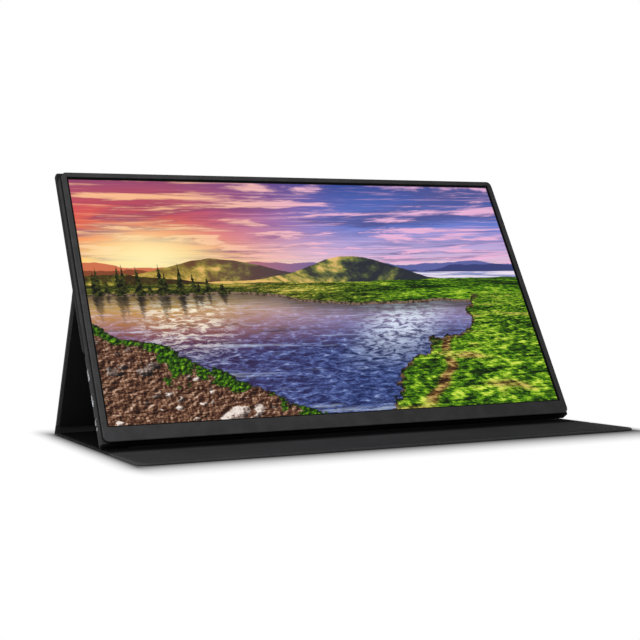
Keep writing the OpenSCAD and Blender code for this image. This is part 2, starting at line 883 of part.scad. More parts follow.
// Menu rocker: tips either way about a line through its middle
module menu_rocker() {
    color([0.16, 0.16, 0.165]) on_monitor() translate([shell_w / 2 + rocker_proud, port_line, rocker_at])
        difference() {
            translate([-rocker_depth / 2, 0, 0]) slot_x(rocker_len, rocker_t, rocker_depth);
            for (end = [-1, 1])
                translate([0, 0, end * rocker_len / 3]) rotate([90, 0, 0])
                    cylinder(h = rocker_t * 2, r = rocker_notch_r, center = true);
        }
}

// Small round key beside the jack, dished so that a nail finds it
module side_key() {
    color([0.3, 0.3, 0.3]) on_monitor() translate([-port_x, port_line, key_at]) difference() {
        translate([key_len / 2, 0, 0]) rod_x(key_r, key_len);
        translate([dish_deep - dish_r, 0, 0]) sphere(dish_r);
    }
}

floor_skin();
floor_board();
spine_board();
floor_lining();
grip_strip_front();
grip_strip_rear();
flap_skin();
flap_board();
flap_lining();
flap_magnets();
stand_skin();
stand_board();
stand_lining();
plate_wrap();
plate_core();
plate_magnets();
back_skin();
front_bezel();
seam_gasket();
rear_shell();
lcd_cell();
optical_films();
light_guide_plate();
reflector_sheet();
led_bar();
panel_chassis();
driver_board();
main_board();
display_cable();
usb_c_port_upper();
usb_c_port_lower();
mini_hdmi_port();
audio_jack();
status_led();
speaker_left();
speaker_right();
button_board();
shell_steel_strips();
shell_screws();
power_button();
menu_rocker();
side_key();
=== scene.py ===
import bpy
import bmesh
import json
import math
import numpy as np
from mathutils import Matrix, Vector


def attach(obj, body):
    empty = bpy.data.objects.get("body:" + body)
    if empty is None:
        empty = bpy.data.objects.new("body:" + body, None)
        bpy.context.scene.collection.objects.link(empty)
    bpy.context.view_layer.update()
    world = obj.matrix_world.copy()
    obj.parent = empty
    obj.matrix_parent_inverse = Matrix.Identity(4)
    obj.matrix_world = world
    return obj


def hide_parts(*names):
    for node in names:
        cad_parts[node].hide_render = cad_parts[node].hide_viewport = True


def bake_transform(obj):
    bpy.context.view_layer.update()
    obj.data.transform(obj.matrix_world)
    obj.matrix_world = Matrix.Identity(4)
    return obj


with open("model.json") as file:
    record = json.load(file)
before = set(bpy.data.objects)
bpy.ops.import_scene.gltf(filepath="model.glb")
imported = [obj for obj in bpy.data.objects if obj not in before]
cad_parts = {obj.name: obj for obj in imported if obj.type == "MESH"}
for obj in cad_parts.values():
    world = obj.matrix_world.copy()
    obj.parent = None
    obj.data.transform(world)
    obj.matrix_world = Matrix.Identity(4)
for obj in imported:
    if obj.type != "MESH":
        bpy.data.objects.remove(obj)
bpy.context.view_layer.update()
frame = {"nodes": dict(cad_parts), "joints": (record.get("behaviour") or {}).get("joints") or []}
mm = 0.001
print("frame loaded with", len(frame["nodes"]), "nodes")


# camera and stage

photoCamera = dict(
    at=(-382.4, -831.5, 92.3), right=(0.91294, -0.40755, -0.02084), up=(0.02414, 0.00294, 0.99970),
    focalPixels=1283, framePixels=640, sensor=36)

right = Vector(photoCamera["right"]).normalized()
up = Vector(photoCamera["up"])
up = (up - right * up.dot(right)).normalized()
back = right.cross(up)
cameraData = bpy.data.cameras.new("camera")
cameraData.sensor_width = photoCamera["sensor"]
cameraData.lens = photoCamera["focalPixels"] / photoCamera["framePixels"] * photoCamera["sensor"]
cameraData.clip_start, cameraData.clip_end = 0.01, 100
camera = bpy.data.objects.new("camera", cameraData)
turned = Matrix((right, up, back)).transposed().to_4x4()
camera.matrix_world = Matrix.Translation(Vector(photoCamera["at"]) * mm) @ turned
bpy.context.scene.collection.objects.link(camera)
bpy.context.scene.camera = camera
bpy.context.scene.view_settings.view_transform = "Standard"


def srgb(*levels):
    # display levels from 0 to 255, made linear
    c = np.array(levels, float) / 255
    c = np.where(c <= 0.04045, c / 12.92, ((c + 0.055) / 1.055) ** 2.4)
    return tuple(float(v) for v in c) + (1.0,)


def toned(colour, share):
    return tuple(min(v * share, 1.0) for v in colour[:3]) + (1.0,)


class Paint:
    # a material's node tree: each method adds one node and gives back its output

    def __init__(self, name, **shader):
        self.material = bpy.data.materials.new(name)
        self.material.use_nodes = True
        self.tree = self.material.node_tree
        self.shader = self.tree.nodes["Principled BSDF"]
        for socket, value in shader.items():
            self.shader.inputs[socket.replace("_", " ")].default_value = value

    def node(self, kind, **settings):
        made = self.tree.nodes.new("ShaderNode" + kind)
        for key, value in settings.items():
            setattr(made, key, value)
        return made

    def feed(self, socket, value):
        if isinstance(value, bpy.types.NodeSocket):
            self.tree.links.new(value, socket)
        else:
            socket.default_value = value

    def drive(self, socket, value):
        self.feed(self.shader.inputs[socket], value)

    def objectPoint(self):
        return self.node("TexCoord").outputs["Object"]

    def uvPoint(self):
        return self.node("UVMap", uv_map="sheet").outputs["UV"]

    def placed(self, point, location=(0, 0, 0), rotation=(0, 0, 0), scale=(1, 1, 1)):
        made = self.node("Mapping", vector_type="TEXTURE")
        self.feed(made.inputs["Vector"], point)
        made.inputs["Location"].default_value = location
        made.inputs["Rotation"].default_value = rotation
        made.inputs["Scale"].default_value = scale
        return made.outputs["Vector"]

    def split(self, point):
        made = self.node("SeparateXYZ")
        self.feed(made.inputs[0], point)
        return made.outputs

    def joined(self, x, y, z=0.0):
        made = self.node("CombineXYZ")
        for socket, value in zip(made.inputs, (x, y, z)):
            self.feed(socket, value)
        return made.outputs[0]

    def calc(self, operation, a, b=0.0):
        made = self.node("Math", operation=operation)
        for socket, value in zip(made.inputs, (a, b)):
            self.feed(socket, value)
        return made.outputs[0]

    def add(self, a, b):
        return self.calc("ADD", a, b)

    def less(self, a, b):
        return self.calc("SUBTRACT", a, b)

    def times(self, a, b):
        return self.calc("MULTIPLY", a, b)

    def over(self, a, b):
        return self.calc("DIVIDE", a, b)

    def rise(self, value, low, high, start=0.0, end=1.0):
        # smooth step of value from low to high
        made = self.node("MapRange", interpolation_type="SMOOTHSTEP")
        for socket, v in zip(made.inputs, (value, low, high, start, end)):
            self.feed(socket, v)
        return made.outputs[0]

    def noise(self, point, scale, detail=2.0, rough=0.5, distort=0.0):
        made = self.node("TexNoise", noise_dimensions="3D")
        self.feed(made.inputs["Vector"], point)
        for socket, value in (("Scale", scale), ("Detail", detail), ("Roughness", rough),
                              ("Distortion", distort)):
            made.inputs[socket].default_value = value
        return made.outputs["Fac"]

    def cells(self, point, scale, feature="F1"):
        made = self.node("TexVoronoi", feature=feature, voronoi_dimensions="3D")
        self.feed(made.inputs["Vector"], point)
        made.inputs["Scale"].default_value = scale
        return made.outputs

    def mix(self, share, a, b):
        made = self.node("Mix", data_type="RGBA")
        for place, value in zip((0, 6, 7), (share, a, b)):       # the node's factor and its two colours
            self.feed(made.inputs[place], value)
        return made.outputs[2]

    def ramp(self, value, *stops):
        made = self.node("ValToRGB")
        while len(made.color_ramp.elements) < len(stops):
            made.color_ramp.elements.new(0.5)
        for element, (place, colour) in zip(made.color_ramp.elements, stops):
            element.position, element.color = place, colour
        self.feed(made.inputs[0], value)
        return made.outputs[0]

    def bump(self, height, distance, strength=1.0):
        made = self.node("Bump")
        made.inputs["Strength"].default_value = strength
        made.inputs["Distance"].default_value = distance
        self.feed(made.inputs["Height"], height)
        return made.outputs["Normal"]


stageSettings = dict(floorSize=60, bounceGrey=0.8, worldLight=0.36, worldWhite=1.0,
                     footprint=(0.1782, 0.110), shadeWidth=(0.016, 0.055), shadeDepth=0.88, shadeCurve=1.5,
                     glowShare=(0.5, 1.0))


def seenShare(tree):
    # 1 for camera, glossy and transmission rays, 0 for the light that falls on things
    path = tree.nodes.new("ShaderNodeLightPath")
    total = path.outputs["Is Camera Ray"]
    for name in ("Is Glossy Ray", "Is Transmission Ray"):
        more = tree.nodes.new("ShaderNodeMath")
        more.operation = "MAXIMUM"
        tree.links.new(total, more.inputs[0])
        tree.links.new(path.outputs[name], more.inputs[1])
        total = more.outputs[0]
    return total


def makeStage(s):
    half = s["floorSize"] / 2
    mesh = bpy.data.meshes.new("floor")
    mesh.from_pydata([(-half, -half, 0), (half, -half, 0), (half, half, 0), (-half, half, 0)], [],
                     [(0, 1, 2, 3)])
    floor = bpy.data.objects.new("floor", mesh)
    bpy.context.scene.collection.objects.link(floor)
    paint = Paint("palePaperFloor", Roughness=1.0)
    paint.shader.inputs["Specular IOR Level"].default_value = 0
    seen = seenShare(paint.tree)
    # as seen, the paper glows white away from the object, and takes real light and shadow close to it,
    # under a soft shade that grows towards the cover's outline
    x, y, _ = paint.split(paint.objectPoint())
    outside = [paint.over(paint.calc("MAXIMUM", paint.less(paint.calc("ABSOLUTE", v), edge), 0.0), width)
               for v, edge, width in zip((x, y), s["footprint"], s["shadeWidth"])]
    away = paint.calc("SQRT", paint.add(*(paint.times(v, v) for v in outside)))
    far = paint.calc("POWER", paint.less(1.0, paint.calc("MINIMUM", away, 1.0)), s["shadeCurve"])
    shade = paint.less(1.0, paint.times(far, s["shadeDepth"]))
    glow = paint.rise(away, 0.0, 1.0, *s["glowShare"])
    grey = lambda level: paint.joined(level, level, level)
    paint.drive("Base Color", paint.mix(seen, grey(s["bounceGrey"]),
                                        grey(paint.times(shade, paint.less(1.0, glow)))))
    paint.drive("Emission Color", paint.mix(seen, grey(0.0), grey(paint.times(shade, glow))))
    paint.shader.inputs["Emission Strength"].default_value = 1
    mesh.materials.append(paint.material)

    world = bpy.data.worlds.new("studio")
    bpy.context.scene.world = world
    world.use_nodes = True
    tree = world.node_tree
    ground = tree.nodes["Background"]
    seen = seenShare(tree)
    strength = tree.nodes.new("ShaderNodeMapRange")
    tree.links.new(seen, strength.inputs["Value"])
    strength.inputs["To Min"].default_value = s["worldLight"]
    strength.inputs["To Max"].default_value = s["worldWhite"]
    tree.links.new(strength.outputs[0], ground.inputs["Strength"])
    ground.inputs["Color"].default_value = (1, 1, 1, 1)


def softBox(name, at, aim, size, watts):
    data = bpy.data.lights.new(name, "AREA")
    data.shape, data.size, data.size_y, data.energy = "RECTANGLE", size[0], size[1], watts
    lamp = bpy.data.objects.new(name, data)
    lamp.location = at
    lamp.rotation_euler = (Vector(aim) - Vector(at)).to_track_quat("-Z", "Y").to_euler()
    bpy.context.scene.collection.objects.link(lamp)


makeStage(stageSettings)
softBox("keySoftBox", at=(-0.62, -0.58, 0.62), aim=(-0.05, 0, 0.08), size=(0.5, 0.4), watts=11)
softBox("rearSoftBox", at=(0.25, 0.95, 0.28), aim=(0, 0.08, 0.1), size=(0.5, 0.3), watts=8)
softBox("sideSoftBox", at=(-0.55, -0.05, 0.10), aim=(-0.18, -0.02, 0.03), size=(0.2, 0.15), watts=0.8)
print("camera and stage made")


# where things stand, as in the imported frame

jointAt = {j["name"]: Vector(j.get("pos_m", (0, 0, 0))) for j in frame["joints"]}
release = Vector(next(j["axis"] for j in frame["joints"] if j["name"] == "monitor_release"))
rearFold, backFold, crease = jointAt["stand_fold"], jointAt["back_fold"], jointAt["flap_fold"]

monitorCase = dict(foot=(-30.8092, 7.35096), chin=11.6, litWidth=344.2, litHeight=193.6, softEdge=0.1,
                   recess=1.6)
lean = math.asin(release.z)
screenUp = np.array((math.sin(lean), math.cos(lean)))        # (y, z) of one step up the screen
screenIn = np.array((math.cos(lean), -math.sin(lean)))       # and of one step into its depth


def onMonitor(depth, height):
    # (y, z) of a point by its depth behind the bezel's face and its height up the screen
    return np.array(monitorCase["foot"]) * mm + depth * screenIn + height * screenUp


plasticFinish = dict(colour=(47, 47, 48), grain=2600, mottle=90, rough=0.6, bump=0.00003, shine=0.03)
leatherFinish = dict(colour=(44, 44, 45), grain=1150, wear=60, rough=0.62, bump=0.00010)


def finePlastic(name, s):
    # moulded plastic with a spark-eroded grain: fine noise for the grain, slow noise for uneven sheen
    paint = Paint(name, Roughness=s["rough"])
    point = paint.objectPoint()
    grain = paint.noise(point, s["grain"], detail=3, rough=0.6)
    mottle = paint.noise(point, s["mottle"], detail=4, rough=0.6)
    base = srgb(*s["colour"])
    paint.drive("Base Color", paint.mix(paint.rise(mottle, 0.3, 0.7), toned(base, 0.86), toned(base, 1.14)))
    paint.drive("Roughness", paint.rise(grain, 0.2, 0.8, s["rough"] - 0.06, s["rough"] + 0.08))
    paint.drive("Normal", paint.bump(grain, s["bump"]))
    paint.shader.inputs["Specular IOR Level"].default_value = s.get("shine", 0.5)
    return paint.material


def fineLeather(name, s, flat=True):
    # pressed grain: rounded cells of two sizes, with creases between them painted darker as shade, over a
    # slow unevenness; the optional painted shade gives where along the sheet it turns darker, and by how much
    paint = Paint(name, Roughness=s["rough"])
    point = paint.uvPoint() if flat else paint.objectPoint()
    bend = paint.noise(point, s["grain"] * 0.3, detail=2)
    shifted = paint.node("VectorMath", operation="ADD")
    paint.feed(shifted.inputs[0], point)
    paint.feed(shifted.inputs[1], paint.joined(paint.times(bend, 0.0008), paint.times(bend, 0.0006)))
    large = paint.cells(shifted.outputs[0], s["grain"], "DISTANCE_TO_EDGE")["Distance"]
    small = paint.cells(shifted.outputs[0], s["grain"] * 2.1)["Distance"]
    pebble = paint.add(paint.rise(large, 0.0, 0.28), paint.times(small, -0.35))
    slow = paint.noise(point, s["wear"], detail=5, rough=0.6)
    base = srgb(*s["colour"])
    # painted shade: the creases between the grain's cells are darker
    colour = paint.mix(paint.rise(large, 0.0, 0.2), toned(base, 0.7), base)
    colour = paint.mix(paint.rise(slow, 0.4, 0.75, 0.0, 0.6), colour, toned(base, 1.18))
    # painted shade: towards black along the sheet, for the shadow behind the crease under the monitor
    if "paintedShade" in s:
        low, high, share = s["paintedShade"]
        colour = paint.mix(paint.rise(paint.split(point)[1], low, high, 0.0, share), colour, (0, 0, 0, 1))
    paint.drive("Base Color", colour)
    paint.drive("Roughness", paint.rise(slow, 0.3, 0.7, s["rough"] - 0.05, s["rough"] + 0.08))
    paint.drive("Normal", paint.bump(pebble, s["bump"]))
    paint.shader.inputs["Specular IOR Level"].default_value = s.get("shine", 0.06)
    return paint.material


def brushedCloth(name, colour, paintedShade=None):
    # microfibre: short streaky nap with slow light and dark strokes; the optional painted shade is as in
    # fineLeather
    paint = Paint(name, Roughness=0.95)
    point = paint.uvPoint()
    nap = paint.noise(paint.placed(point, scale=(1, 0.4, 1)), 1500, detail=3, rough=0.7)
    stroke = paint.noise(point, 14, detail=3, rough=0.55, distort=0.8)
    base = srgb(*colour)
    light = tuple(v * 1.5 + 0.0004 for v in base[:3]) + (1.0,)
    cloth = paint.mix(paint.rise(paint.add(nap, paint.times(stroke, 0.8)), 0.6, 1.2), base, light)
    # painted shade, as in fineLeather
    if paintedShade:
        low, high, share = paintedShade
        cloth = paint.mix(paint.rise(paint.split(point)[1], low, high, 0.0, share), cloth, (0, 0, 0, 1))
    paint.drive("Base Color", cloth)
    paint.drive("Normal", paint.bump(nap, 0.00008))
    paint.shader.inputs["Specular IOR Level"].default_value = 0.01
    return paint.material


def metal(name, colour, rough, brushed=(1, 1, 1)):
    # metal with fine strokes drawn out along one direction
    paint = Paint(name, Metallic=1.0, Roughness=rough)
    stroke = paint.noise(paint.placed(paint.objectPoint(), scale=brushed), 900, detail=3, rough=0.6)
    base = srgb(*colour)
    paint.drive("Base Color", paint.mix(stroke, toned(base, 0.8), base))
    paint.drive("Roughness", paint.rise(stroke, 0.2, 0.8, rough - 0.06, rough + 0.1))
    paint.drive("Normal", paint.bump(stroke, 0.00001))
    return paint.material


def plain(name, colour, rough, spots=400, change=0.15, shine=0.5):
    # even material with a fine uneven surface
    paint = Paint(name, Roughness=rough)
    spot = paint.noise(paint.objectPoint(), spots, detail=4, rough=0.6)
    base = srgb(*colour)
    paint.drive("Base Color", paint.mix(paint.rise(spot, 0.3, 0.7), toned(base, 1 - change),
                                        toned(base, 1 + change)))
    paint.drive("Roughness", paint.rise(spot, 0.2, 0.8, rough - 0.05, rough + 0.05))
    paint.drive("Normal", paint.bump(spot, 0.00002))
    paint.shader.inputs["Specular IOR Level"].default_value = shine
    return paint.material


# the picture on the screen, a made-up evening by a lake: x runs from 0 to 1.78 rightwards, y from 0 to 1 up

view = dict(horizon=0.60, sun=(0.25, 0.655), sunGlow=0.20, farShore=0.50, eyeHeight=0.12, landLevel=0.62,
            middle=0.9)
clouds = dict(ceiling=0.16, lift=0.10, origin=0.3, across=1.5, along=3.6, scale=1.9, sunward=(0.22, 0.03),
              bankScale=0.8, wispScale=2.2, wispRows=16)
hills = dict(rows=((0.570, 0.50, 0.26, 0.085, 2.0, 0.20),    # base, centre, spread, height, seed and haze
                   (0.556, 1.05, 0.24, 0.110, 5.0, 0.10),
                   (0.530, 0.10, 0.34, 0.060, 8.0, 0.05)),
             waves=(0.034, 6.0), fan=-1.2, gullies=(2.4, 0.9), scale=9.0, step=0.016, relief=2.6, sunSide=1.1,
             patches=0.5)
lowLand = dict(level=0.548, waves=(0.03, 5.0), scale=15.0, step=0.008, relief=2.6, patches=0.9, fields=2.0,
               fieldScale=3.2)
lake = dict(rippleScale=2.2, chopScale=7.0, glitterX=0.34, gleamX=1.30, spread=0.24, shoreWaves=(4.0, 0.05))
trees = dict(rows=((19.0, 0.512, 0.100, 0.0), (13.0, 0.500, 0.13, 7.0)), branches=6.0, halfWidth=0.36,
             raggedScale=110)
meadow = dict(edge=(1.04, 1.05), ragged=(4.5, 0.55), top=0.47, tufts=40.0, blades=34.0, patchScale=7.0,
              path=(1.36, 0.55, 0.30), pathWidth=(0.050, 0.08))
stonyBank = dict(edge=(0.40, 0.50), ragged=(5.0, 0.20), gritScale=30.0, gritStep=0.006,
                 stones=((26.0, 0.74, 0.0), (11.0, 0.62, 4.0)), growthScale=5.0, leafScale=64.0)


def skyColour(p, x, y):
    # warm ramp on the left and cool ramp on the right, both by height above the horizon
    height = p.over(p.less(y, view["horizon"]), 1 - view["horizon"])
    warm = p.ramp(height, (0.0, srgb(255, 226, 132)), (0.14, srgb(255, 190, 84)), (0.36, srgb(246, 128, 74)),
                  (0.66, srgb(214, 84, 84)), (1.0, srgb(150, 74, 112)))
    cool = p.ramp(height, (0.0, srgb(244, 206, 214)), (0.20, srgb(200, 176, 220)),
                  (0.50, srgb(104, 124, 204)),
                  (1.0, srgb(52, 74, 152)))
    return p.mix(p.rise(x, 0.25, 1.15), warm, cool)


def cloudSky(p, x, y):
    # clouds on a level sheet overhead: the sheet's depth is one over the height above the horizon
    c = clouds
    billow = dict(detail=10, rough=0.6, distort=0.5)
    depth = p.over(c["ceiling"], p.add(p.less(y, view["horizon"]), c["lift"]))
    acrossSheet = lambda origin: p.times(p.less(x, origin), p.times(depth, c["across"]))
    across, along = acrossSheet(c["origin"]), p.times(depth, c["along"])
    body = p.noise(p.joined(across, along), c["scale"], **billow)
    sunX, sunY = c["sunward"]
    nearer = p.joined(acrossSheet(sunX), p.times(p.less(depth, sunY), c["along"]))
    lit = p.less(body, p.noise(nearer, c["scale"], **billow))
    bank = p.noise(p.joined(across, along, 7.0), c["bankScale"], detail=5, rough=0.55, distort=0.3)
    east = p.rise(x, 0.30, 1.2)
    shade = p.mix(east, srgb(146, 66, 100), srgb(78, 84, 146))
    light = p.mix(east, srgb(255, 194, 146), srgb(240, 184, 218))
    cover = p.times(p.rise(body, 0.44, 0.60), p.rise(bank, 0.40, 0.56, 0.35, 1.0))
    sky = p.mix(cover, skyColour(p, x, y), shade)
    sky = p.mix(p.rise(lit, 0.01, 0.09, 0.0, 0.9), sky, light)
    wispRow = p.times(p.over(1.0, p.add(depth, 0.3)), c["wispRows"])
    wisps = p.noise(p.joined(p.times(x, 1.2), wispRow), c["wispScale"], detail=8, rough=0.62, distort=0.5)
    sky = p.mix(p.rise(wisps, 0.52, 0.70, 0.0, 0.6), sky, light)
    sky = p.mix(p.rise(wisps, 0.44, 0.34, 0.0, 0.5), sky, shade)
    sunX, sunY = view["sun"]
    away = p.calc("SQRT", p.add(p.calc("POWER", p.times(p.less(x, sunX), 0.5), 2),
                                p.calc("POWER", p.less(y, sunY), 2)))
    return p.mix(p.rise(away, view["sunGlow"], 0.0, 0.0, 0.95), sky, srgb(255, 240, 176))


def ridge(p, x, base, height, scale, seed):
    # height of a hill's skyline: base plus one-dimensional noise
    return p.add(base, p.times(p.less(p.noise(p.joined(x, seed), scale, detail=6, rough=0.55), 0.5), height))


def bell(p, x, centre, spread, height):
    # a rounded hill: height * exp(-((x - centre) / spread)^2)
    squared = p.calc("POWER", p.over(p.less(x, centre), spread), 2)
    return p.times(p.calc("POWER", math.e, p.times(squared, -1)), height)


def relief(p, u, v, scale, seed, step, detail=9, rough=0.66):
    # slopes lit from the upper left: the difference of one noise at two places a step apart
    here = p.noise(p.joined(u, v, seed), scale, detail=detail, rough=rough)
    there = p.noise(p.joined(p.less(u, step), p.add(v, step), seed), scale, detail=detail, rough=rough)
    return p.less(here, there), here


def levelGround(p, x, y):
    # a level sheet seen at a slant: (x, depth) both grow as the eye's height over the drop below the level
    near = p.over(view["eyeHeight"], p.calc("MAXIMUM", p.less(view["landLevel"], y), 0.01))
    return p.times(p.less(x, view["middle"]), near), p.times(near, 1.8)


def hillTone(p, light, far, x):
    # from shaded green-brown to sunlit gold, with more haze the farther it is
    tone = p.ramp(light, (0.16, srgb(16, 22, 9)), (0.36, srgb(50, 60, 18)), (0.52, srgb(98, 106, 32)),
                  (0.68, srgb(158, 150, 54)), (0.88, srgb(232, 190, 104)))
    haze = p.mix(p.rise(x, 0.2, 1.1), srgb(222, 138, 84), srgb(122, 122, 160))
    return p.mix(far, tone, haze)


def grassTone(p, light):
    return p.ramp(light, (0.14, srgb(12, 26, 4)), (0.34, srgb(34, 70, 8)), (0.52, srgb(78, 132, 14)),
                  (0.68, srgb(138, 184, 30)), (0.88, srgb(216, 232, 86)))


def lumps(p, u, v, scale, seed, bend=0.25):
    # rounded lumps: cell distance here less the same a step away gives their lit and shaded sides
    step = 0.16 / scale
    shift = p.times(p.noise(p.joined(u, v, seed), scale * 0.8, detail=4, rough=0.6), bend / scale * 4)
    here = p.cells(p.joined(p.add(u, shift), p.add(v, shift), seed), scale)
    there = p.cells(p.joined(p.less(p.add(u, shift), step), p.add(p.add(v, shift), step), seed), scale)
    return p.less(there["Distance"], here["Distance"]), here


def conifers(p, x, y, count, base, tall, seed):
    # one tree to a cell: a spire whose half width falls to nothing at its top, stepped into drooping branches
    cell = p.calc("FLOOR", p.times(x, count))
    chance = p.node("TexWhiteNoise", noise_dimensions="1D")
    p.feed(chance.inputs["W"], p.add(cell, seed))
    pick = chance.outputs["Value"]
    side = p.calc("ABSOLUTE", p.less(p.less(p.times(x, count), cell), p.add(0.36, p.times(pick, 0.28))))
    height = p.times(p.times(p.add(pick, 0.4), tall), p.rise(x, 0.60, 0.35))
    above = p.over(p.less(y, base), p.add(height, 0.0001))
    branch = p.less(1.0, p.times(p.calc("FRACT", p.add(p.times(above, trees["branches"]), pick)), 0.5))
    ragged = p.add(0.7, p.times(p.noise(p.joined(x, y), trees["raggedScale"], detail=3), 0.6))
    halfWidth = p.times(p.times(p.less(1.0, above), branch), p.times(ragged, trees["halfWidth"]))
    shape = p.times(p.rise(p.less(halfWidth, side), 0.0, 0.04), p.rise(above, -0.01, 0.0))
    return p.times(shape, p.rise(height, 0.02, 0.03))


def paintDistance(p, x, y, colour):
    # two far ranges, hazy and blue, and a pale bay under them at the right
    far = ridge(p, x, 0.632, 0.12, 2.6, 4.7)
    farTone = p.mix(p.rise(x, 0.3, 1.1), srgb(206, 112, 76), srgb(92, 98, 160))
    colour = p.mix(p.rise(p.less(far, y), 0.0, 0.003), colour, farTone)
    mid = p.add(ridge(p, x, 0.598, 0.10, 3.8, 9.1), bell(p, x, 1.62, 0.20, 0.03))
    midTone = p.mix(p.rise(x, 0.3, 1.1), srgb(132, 70, 44), srgb(58, 64, 116))
    colour = p.mix(p.rise(p.less(mid, y), 0.0, 0.003), colour, midTone)
    streaks = p.noise(p.joined(p.times(x, 1.0), p.times(y, 26)), 3.0, detail=6, rough=0.65)
    bay = p.mix(p.rise(streaks, 0.45, 0.60), srgb(238, 226, 240), srgb(128, 138, 190))
    return p.mix(p.times(p.rise(p.less(0.590, y), 0.0, 0.003), p.rise(x, 1.02, 1.20)), colour, bay)


def paintHills(p, x, y, colour, grainLift):
    # rolling hills from far to near, each a bell with gullies that fan out down its sides, lit on the left
    h = hills
    for base, centre, spread, height, seed, hazy in h["rows"]:
        top = p.add(ridge(p, x, base, *h["waves"], seed), bell(p, x, centre, spread, height))
        top = p.less(top, p.rise(x, 1.25, 1.7, 0.0, 0.03))
        fanned = p.add(x, p.times(p.less(x, centre), p.times(y, h["fan"])))
        slope, patch = relief(p, p.times(fanned, h["gullies"][0]), p.times(y, h["gullies"][1]), h["scale"],
                              seed, h["step"], detail=12, rough=0.62)
        light = p.add(p.times(slope, h["relief"]), p.add(0.42, p.times(p.less(centre, x), h["sunSide"])))
        light = p.add(light, p.add(p.times(p.less(patch, 0.5), h["patches"]), p.times(grainLift, 0.5)))
        colour = p.mix(p.rise(p.less(top, y), 0.0, 0.002), colour, hillTone(p, light, hazy, x))
    return colour


def paintLowLand(p, x, y, u, v, colour, grainLift):
    # low land along the far shore, with wide light and dark fields
    w = lowLand
    slope, patch = relief(p, u, p.times(v, 0.55), w["scale"], 6.0, w["step"], detail=12, rough=0.7)
    top = p.add(ridge(p, x, w["level"], *w["waves"], 12.0), p.rise(x, 0.9, 1.5, 0.0, 0.012))
    fields = p.noise(p.joined(u, p.times(v, 0.5), 2.0), w["fieldScale"], detail=6, rough=0.6)
    light = p.add(p.times(slope, w["relief"]), p.times(p.less(patch, 0.5), w["patches"]))
    light = p.add(p.add(light, p.add(0.44, p.times(grainLift, 0.5))),
                  p.times(p.less(fields, 0.5), w["fields"]))
    land = p.mix(p.rise(x, 0.5, 1.4), hillTone(p, light, 0.0, x), grassTone(p, p.times(light, 0.85)))
    return p.mix(p.rise(p.less(top, y), 0.0, 0.003), colour, land)


def paintLake(p, x, y, colour, grain):
    # the sky upside down, darker and bluer towards the front, broken by ripples
    k = lake
    drop = p.less(view["farShore"], y)
    depth = p.over(0.1, p.add(drop, 0.05))
    ripple = p.noise(p.joined(p.times(x, p.times(depth, 2.0)), p.times(depth, 14)), k["rippleScale"],
                     detail=9, rough=0.7, distort=0.4)
    chop = p.noise(p.joined(p.times(x, 3.0), p.times(y, 11.0), 3.0), k["chopScale"], detail=10, rough=0.72,
                   distort=0.6)
    shake = p.less(ripple, 0.5)
    mirrorY = p.add(p.add(view["horizon"], p.times(drop, 0.75)), p.times(shake, 0.22))
    mirrored = skyColour(p, p.add(x, p.times(shake, 0.25)), mirrorY)
    deep = p.ramp(chop, (0.34, srgb(10, 18, 48)), (0.47, srgb(32, 46, 96)), (0.58, srgb(84, 104, 164)),
                  (0.72, srgb(196, 210, 240)))
    water = p.mix(p.rise(drop, 0.0, 0.26, 0.35, 0.96), mirrored, deep)
    water = p.mix(p.rise(ripple, 0.55, 0.70, 0.0, 0.85), water, srgb(214, 226, 246))
    water = p.mix(p.rise(ripple, 0.46, 0.34, 0.0, 0.6), water, srgb(20, 26, 60))
    # sunlit path on the left and the pale sky's on the right
    fromGlitter = p.calc("ABSOLUTE", p.less(x, k["glitterX"]))
    glitter = p.times(p.rise(fromGlitter, k["spread"], 0.04), p.rise(chop, 0.47, 0.58))
    water = p.mix(p.times(glitter, p.rise(drop, 0.34, 0.04)), water, srgb(255, 242, 214))
    fromGleam = p.calc("ABSOLUTE", p.less(x, p.less(k["gleamX"], p.times(drop, 0.7))))
    gleam = p.times(p.rise(fromGleam, k["spread"], 0.02), p.rise(chop, 0.42, 0.56))
    water = p.mix(p.times(gleam, p.rise(drop, 0.36, 0.08, 0.0, 0.95)), water, srgb(228, 238, 252))
    shoreScale, shoreHeight = k["shoreWaves"]
    shoreNoise = p.noise(p.joined(x, 1.7), shoreScale, detail=6, rough=0.6)
    shoreLine = p.add(view["farShore"], p.times(p.less(shoreNoise, 0.5), shoreHeight))
    shoreLine = p.less(shoreLine, p.rise(x, 0.55, 1.0, 0.0, 0.05))
    wet = p.rise(p.less(shoreLine, y), 0.0, 0.004)
    # the hills' own dark reflection close to the shore, drawn out by the ripples
    sunk = p.add(p.less(shoreLine, y), p.times(shake, 0.10))
    hillShade = p.mix(p.rise(x, 0.2, 1.2), srgb(66, 44, 20), srgb(22, 38, 22))
    water = p.mix(p.rise(sunk, 0.075, 0.0, 0.0, 0.8), water, hillShade)
    beach = p.rise(p.less(p.add(shoreLine, p.times(grain, 0.022)), y), 0.0, 0.004)
    colour = p.mix(beach, colour, p.mix(p.rise(grain, 0.40, 0.60), srgb(30, 22, 18), srgb(136, 112, 92)))
    return p.mix(wet, colour, water), shake, wet


def paintConifers(p, x, y, colour, shake, wet):
    # two rows of trees on the left shore and their broken reflection
    bark = p.mix(p.rise(p.noise(p.joined(x, y, 4.0), 60, detail=4), 0.40, 0.66), srgb(8, 14, 8),
                 srgb(66, 70, 24))
    for count, base, tall, seed in trees["rows"]:
        shakenX = p.add(x, p.times(shake, 0.05))
        shakenY = p.add(p.less(2 * base, y), p.times(shake, 0.06))
        below = p.times(conifers(p, shakenX, shakenY, count, base, tall, seed), wet)
        colour = p.mix(p.times(below, p.times(p.rise(p.less(base, y), 0.16, 0.0), 0.8)), colour,
                       srgb(24, 22, 22))
        colour = p.mix(conifers(p, x, y, count, base, tall, seed), colour, bark)
    return colour


